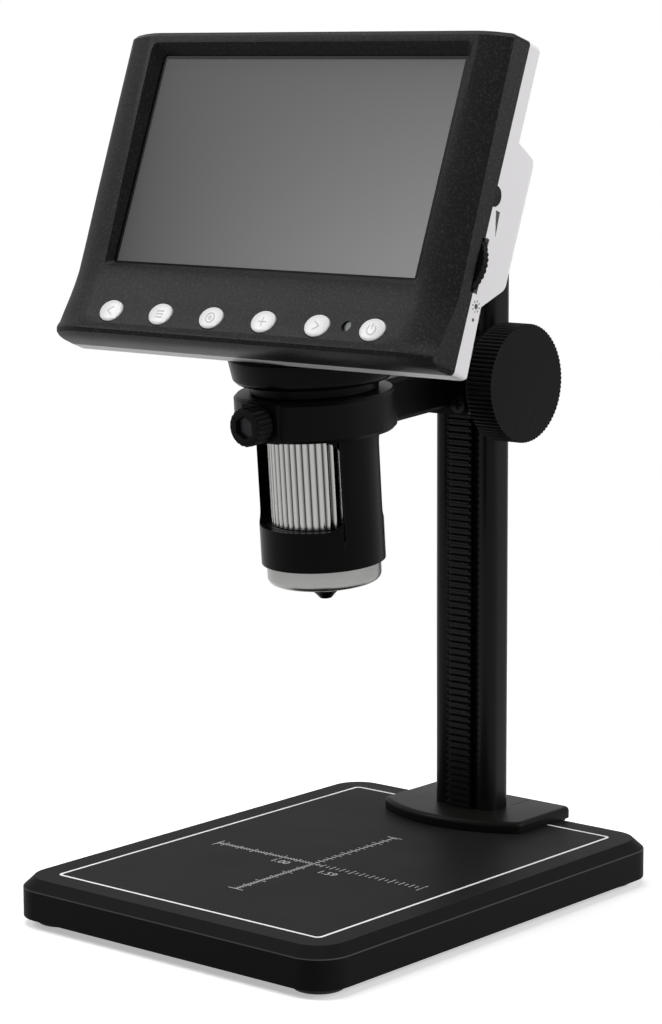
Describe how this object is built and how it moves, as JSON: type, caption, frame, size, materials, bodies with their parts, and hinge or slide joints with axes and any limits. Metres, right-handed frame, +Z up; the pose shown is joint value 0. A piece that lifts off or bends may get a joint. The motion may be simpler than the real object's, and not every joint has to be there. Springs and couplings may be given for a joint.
{
  "type": "lcd digital microscope",
  "caption": "Desktop digital microscope: screen head with camera barrel, clamped in a rack and pinion arm on a column over a flat black base.",
  "frame": {"origin": "centre of the base footprint, on the surface that the rubber feet stand on", "axes": "+X to the user's right, +Y from the screen towards the column, +Z up along the column"},
  "size_m": [0.1245, 0.1359, 0.2189],
  "materials": {
    "base_abs": "semi gloss moulded black",
    "ballast_steel": "plain rolled",
    "foot_rubber": "matte",
    "screw_steel": "zinc plated",
    "bracket_gloss": "polished black",
    "column_paint": "black anodised extrusion",
    "stand_abs": "satin moulded black",
    "rack_acetal": "satin black acetal",
    "pad_nylon": "natural nylon",
    "brass_parts": "machined",
    "knob_abs": "fine matte black",
    "barrel_abs": "semi gloss black",
    "circuit_board": "solder mask green",
    "chip_black": "moulded epoxy",
    "wheel_plated": "bright knurled",
    "lens_glass": "polished",
    "nose_aluminium": "satin turned",
    "clear_acrylic": "clear",
    "led_resin": "translucent resin",
    "bezel_abs": "fine spark texture black",
    "lcd_glass": "satin polariser",
    "backlight_tray": "pressed tray",
    "socket_steel": "nickel plated",
    "battery_wrap": "foil pouch in film",
    "key_abs": "silver grey moulded",
    "shell_abs": "fine texture white",
    "flex_film": "polyimide film"
  },
  "bodies": {
    "stand": {"base_top_shell": "base_abs", "base_bottom_cover": "base_abs", "ballast_plate": "ballast_steel", "rubber_feet": "foot_rubber", "base_screws": "screw_steel", "column_bracket": "bracket_gloss", "stand_screws": "screw_steel", "column_post": "column_paint", "column_rack": "rack_acetal", "column_top_cap": "stand_abs"},
    "carriage": {"carriage_housing": "stand_abs", "carriage_rear_cover": "stand_abs", "carriage_screws": "screw_steel", "friction_pad": "pad_nylon", "focus_arm": "stand_abs", "arm_screws": "screw_steel", "clamp_insert": "brass_parts"},
    "height_knob": {"pinion_shaft": "screw_steel", "drive_pinion": "brass_parts", "focus_knob": "knob_abs", "knob_washer": "pad_nylon", "shaft_clip": "screw_steel"},
    "clamp_thumbscrew": {"clamp_knob": "knob_abs", "clamp_screw": "screw_steel"},
    "head": {"front_bezel": "bezel_abs", "lcd_panel": "lcd_glass", "lcd_backlight": "backlight_tray", "rear_shell": "shell_abs", "rear_screws": "screw_steel", "main_board": "circuit_board", "board_chips": "chip_black", "board_screws": "screw_steel", "keypad_board": "circuit_board", "tact_switches": "chip_black", "battery_pack": "battery_wrap", "indicator_lens": "clear_acrylic", "board_sockets": "socket_steel", "dimmer_pot": "chip_black", "sensor_ribbon": "flex_film", "barrel_neck": "barrel_abs", "neck_screws": "screw_steel", "barrel_tube": "barrel_abs", "wheel_bushes": "rack_acetal", "sensor_board": "circuit_board", "image_sensor": "chip_black", "led_ring_board": "circuit_board", "illumination_leds": "led_resin", "nose_ring": "nose_aluminium", "nose_window": "clear_acrylic"},
    "focus_wheel": {"focus_wheel": "wheel_plated"},
    "lens_slider": {"lens_carrier": "barrel_abs", "objective_lenses": "lens_glass"},
    "dimmer": {"dimmer_wheel": "knob_abs"},
    "key_1": {"key_cap_1": "key_abs"},
    "key_2": {"key_cap_2": "key_abs"},
    "key_3": {"key_cap_3": "key_abs"},
    "key_4": {"key_cap_4": "key_abs"},
    "key_5": {"key_cap_5": "key_abs"},
    "key_6": {"key_cap_6": "key_abs"}
  },
  "joints": [
    {"name": "height_slide", "type": "slide", "parent": "stand", "child": "carriage", "axis": [0, 0, 1], "range_m": [-0.06, 0.055]},
    {"name": "height_knob_turn", "type": "hinge", "parent": "carriage", "child": "height_knob", "pos_m": [0, 0.045, 0.1304], "axis": [1, 0, 0], "range_deg": [-848, 925]},
    {"name": "clamp_turn", "type": "hinge", "parent": "carriage", "child": "clamp_thumbscrew", "pos_m": [0, -0.0087, 0.127], "axis": [0, -0.9971, -0.0767], "range_deg": [0, 720]},
    {"name": "head_swivel", "type": "hinge", "parent": "carriage", "child": "head", "pos_m": [0, -0.0087, 0.127], "axis": [0, -0.0767, 0.9971], "range_deg": [-60, 60]},
    {"name": "focus_wheel_turn", "type": "hinge", "parent": "head", "child": "focus_wheel", "pos_m": [0, -0.0087, 0.127], "axis": [0, -0.0767, 0.9971], "range_deg": [-150, 150]},
    {"name": "lens_slide", "type": "slide", "parent": "head", "child": "lens_slider", "axis": [0, -0.0767, 0.9971], "range_m": [-0.0025, 0.0025]},
    {"name": "dimmer_turn", "type": "hinge", "parent": "head", "child": "dimmer", "pos_m": [0.054, -0.02254, 0.16593], "axis": [0, 0.934, -0.3574], "range_deg": [0, 270]},
    {"name": "key_1_press", "type": "slide", "parent": "head", "child": "key_1", "axis": [0, 0.934, -0.3574], "range_m": [0, 0.0005], "stiffness_N_per_m": 900, "springref_m": -0.0003},
    {"name": "key_2_press", "type": "slide", "parent": "head", "child": "key_2", "axis": [0, 0.934, -0.3574], "range_m": [0, 0.0005], "stiffness_N_per_m": 900, "springref_m": -0.0003},
    {"name": "key_3_press", "type": "slide", "parent": "head", "child": "key_3", "axis": [0, 0.934, -0.3574], "range_m": [0, 0.0005], "stiffness_N_per_m": 900, "springref_m": -0.0003},
    {"name": "key_4_press", "type": "slide", "parent": "head", "child": "key_4", "axis": [0, 0.934, -0.3574], "range_m": [0, 0.0005], "stiffness_N_per_m": 900, "springref_m": -0.0003},
    {"name": "key_5_press", "type": "slide", "parent": "head", "child": "key_5", "axis": [0, 0.934, -0.3574], "range_m": [0, 0.0005], "stiffness_N_per_m": 900, "springref_m": -0.0003},
    {"name": "key_6_press", "type": "slide", "parent": "head", "child": "key_6", "axis": [0, 0.934, -0.3574], "range_m": [0, 0.0005], "stiffness_N_per_m": 900, "springref_m": -0.0003}
  ],
  "couplings": [
    {"joint": "height_knob_turn", "follows": "height_slide", "rad_per_m": -268.51},
    {"joint": "focus_wheel_turn", "follows": "lens_slide", "rad_per_m": 1043.7}
  ]
}
